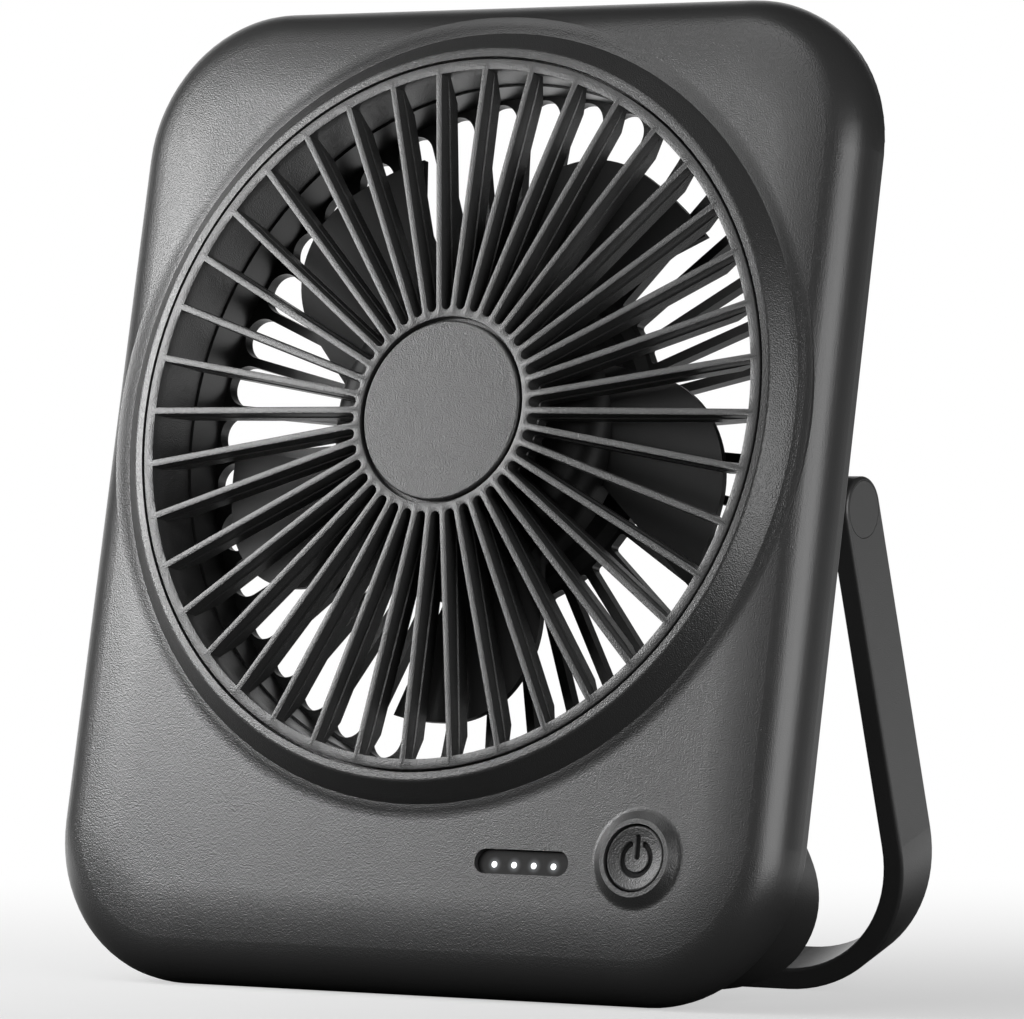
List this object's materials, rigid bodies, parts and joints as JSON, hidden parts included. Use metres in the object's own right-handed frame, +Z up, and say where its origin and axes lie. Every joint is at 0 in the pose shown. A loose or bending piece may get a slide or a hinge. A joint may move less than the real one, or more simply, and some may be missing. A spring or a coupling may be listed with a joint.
{
  "type": "portable desk fan",
  "caption": "Slim leaning desk fan with a round radial grille over a bladed impeller, lamp strip, push button, rear battery heel and a folding U stand.",
  "frame": {"origin": "on the ground, centred in the bounding box, with the fan standing on its tray and its opened stand", "axes": "+Z up, -Y out of the front, +X to the viewer's right; the face leans back 12.5 degrees"},
  "size_m": [0.154, 0.0654, 0.1759],
  "materials": {
    "shell": "fine spark-eroded grain, charcoal",
    "grille": "fine grain, charcoal",
    "disc": "satin charcoal, bare",
    "blades": "gloss black",
    "button": "satin charcoal",
    "window": "dark smoked strip",
    "lamp": "white diffuser",
    "steel": "bright steel",
    "magnet": "bonded ferrite",
    "lamination": "stacked silicon steel",
    "copper": "enamelled copper wire",
    "brass": "turned brass",
    "board": "green solder mask",
    "switch": "black switch body",
    "plunger": "pale nylon",
    "port": "plated shell",
    "cell": "shrink sleeve",
    "nickel": "nickel strip",
    "washer": "friction disc"
  },
  "bodies": {
    "housing": {"front_housing": "shell", "rear_housing": "shell", "front_grille": "grille", "rear_grille": "grille", "hub_disc": "disc", "led_window": "window", "led_lamps": "lamp", "bearing_tube": "brass", "bearings": "steel", "stator_core": "lamination", "stator_coils": "copper", "motor_board": "board", "control_board": "board", "charge_board": "board", "button_switch": "switch", "usb_port": "port", "board_screws": "steel", "charge_screws": "steel", "housing_screws": "steel", "pivot_screws": "steel", "pivot_bushes": "brass", "friction_washers": "washer", "battery_cells": "cell", "cell_tabs": "nickel"},
    "rotor": {"impeller": "blades", "rotor_can": "steel", "magnet_ring": "magnet", "motor_shaft": "steel", "shaft_clip": "steel"},
    "stand": {"stand": "shell", "pivot_caps": "shell"},
    "button": {"power_button": "button", "switch_plunger": "plunger"}
  },
  "joints": [
    {"name": "fan_spin", "type": "hinge", "parent": "housing", "child": "rotor", "pos_m": [0, -0.01515, 0.10319], "axis": [0, -0.9763, 0.2164], "continuous": true},
    {"name": "stand_hinge", "type": "hinge", "parent": "housing", "child": "stand", "pos_m": [0, 0.00038, 0.08622], "axis": [1, 0, 0], "range_deg": [-30.15, 149.85]},
    {"name": "button_press", "type": "slide", "parent": "housing", "child": "button", "axis": [0, 0.9763, -0.2164], "range_m": [0, 0.0004], "stiffness_N_per_m": 4000}
  ]
}
